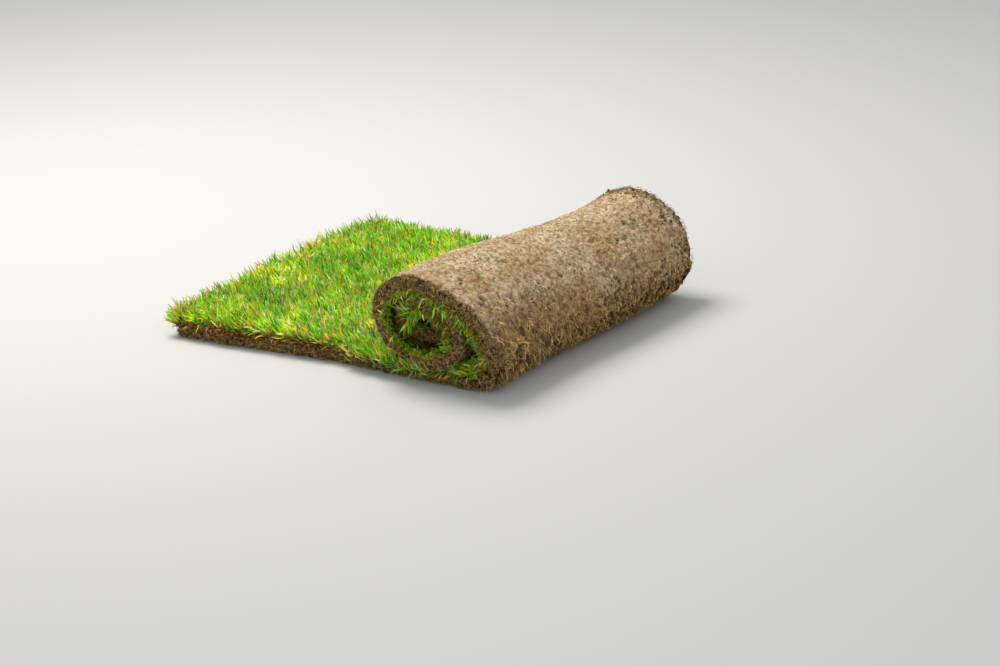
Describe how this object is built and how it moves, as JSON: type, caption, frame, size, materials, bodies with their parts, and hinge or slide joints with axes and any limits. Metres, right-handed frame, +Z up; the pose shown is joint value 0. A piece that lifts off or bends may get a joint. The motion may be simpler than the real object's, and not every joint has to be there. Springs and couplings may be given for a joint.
{
  "type": "turf roll",
  "caption": "Strip of turf partly rolled up with its soil side out: a flat tail of standing grass runs into a leaning oval roll whose turns of soil and grass show at its ends.",
  "frame": {"origin": "on the ground plane under the middle of the object's bounding box, which runs from the overhanging grass at the tail's cut end to the roll's far side", "axes": "+X along the strip from the tail's cut end to the roll, +Y along the roll across the strip, +Z up"},
  "size_m": [0.7238, 0.61, 0.1989],
  "materials": {
    "soil": "dry, crumbly, rooty loam",
    "grass": "loose matt blades"
  },
  "bodies": {
    "root": {"soil_mat": "soil", "grass": "grass"}
  },
  "joints": []
}
